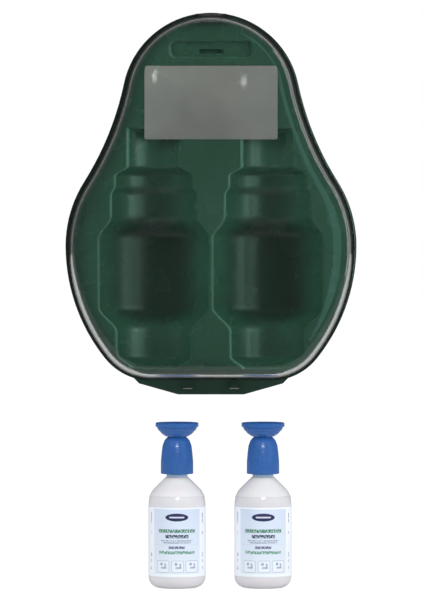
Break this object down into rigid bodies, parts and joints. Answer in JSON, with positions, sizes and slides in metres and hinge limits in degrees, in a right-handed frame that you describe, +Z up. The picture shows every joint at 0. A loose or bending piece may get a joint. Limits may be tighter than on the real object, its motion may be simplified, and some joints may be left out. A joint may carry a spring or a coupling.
{
  "type": "eyewash station",
  "caption": "Pear-shaped wall case with a clear hinged cover over a tray with two bottle recesses, and rinse bottles with eyecup caps.",
  "frame": {"origin": "centre of the four wall fixings, on the wall plane, at the height where the case is widest", "axes": "+Z up, +Y into the wall, +X to the right seen from the front"},
  "size_m": [0.291, 0.1083, 0.5746],
  "materials": {
    "case_green": "gloss moulded",
    "tray_green": "gloss thermoformed",
    "clear_cover": "clear polished",
    "steel": "satin",
    "card": "satin translucent",
    "bottle_wall": "translucent satin",
    "solution": "clear liquid",
    "label": "satin printed",
    "ring_blue": "satin",
    "plug_white": "satin",
    "cap_blue": "gloss moulded"
  },
  "bodies": {
    "case": {"back_shell": "case_green", "inner_tray": "tray_green", "hinge_pin": "steel", "snap_stud_left": "case_green", "snap_stud_right": "case_green", "instruction_card": "card"},
    "cover": {"clear_cover": "clear_cover"},
    "bottle_left": {"bottle_left": "bottle_wall", "solution_left": "solution", "bottle_label_left": "label", "tamper_ring_left": "ring_blue", "spout_plug_left": "plug_white"},
    "cap_left": {"screw_cap_left": "cap_blue", "eyecup_left": "cap_blue"},
    "lid_left": {"dust_lid_left": "cap_blue"},
    "bottle_right": {"bottle_right": "bottle_wall", "solution_right": "solution", "bottle_label_right": "label", "tamper_ring_right": "ring_blue", "spout_plug_right": "plug_white"},
    "cap_right": {"screw_cap_right": "cap_blue", "eyecup_right": "cap_blue"},
    "lid_right": {"dust_lid_right": "cap_blue"}
  },
  "joints": [
    {"name": "cover_hinge", "type": "hinge", "parent": "case", "child": "cover", "pos_m": [0, -0.0512, 0.2286], "axis": [-1, 0, 0], "range_deg": [0, 100]},
    {"name": "bottle_left_lift", "type": "slide", "parent": "case", "child": "bottle_left", "axis": [0, 0, 1], "range_m": [0, 0.012]},
    {"name": "cap_left_twist", "type": "hinge", "parent": "bottle_left", "child": "cap_left", "pos_m": [-0.034, -0.048, -0.21], "axis": [0, 0, 1], "range_deg": [0, 90]},
    {"name": "lid_left_lift", "type": "slide", "parent": "cap_left", "child": "lid_left", "axis": [0, 0, 1], "range_m": [0, 0.012]},
    {"name": "bottle_right_lift", "type": "slide", "parent": "case", "child": "bottle_right", "axis": [0, 0, 1], "range_m": [0, 0.012]},
    {"name": "cap_right_twist", "type": "hinge", "parent": "bottle_right", "child": "cap_right", "pos_m": [0.052, -0.048, -0.21], "axis": [0, 0, 1], "range_deg": [0, 90]},
    {"name": "lid_right_lift", "type": "slide", "parent": "cap_right", "child": "lid_right", "axis": [0, 0, 1], "range_m": [0, 0.012]}
  ]
}
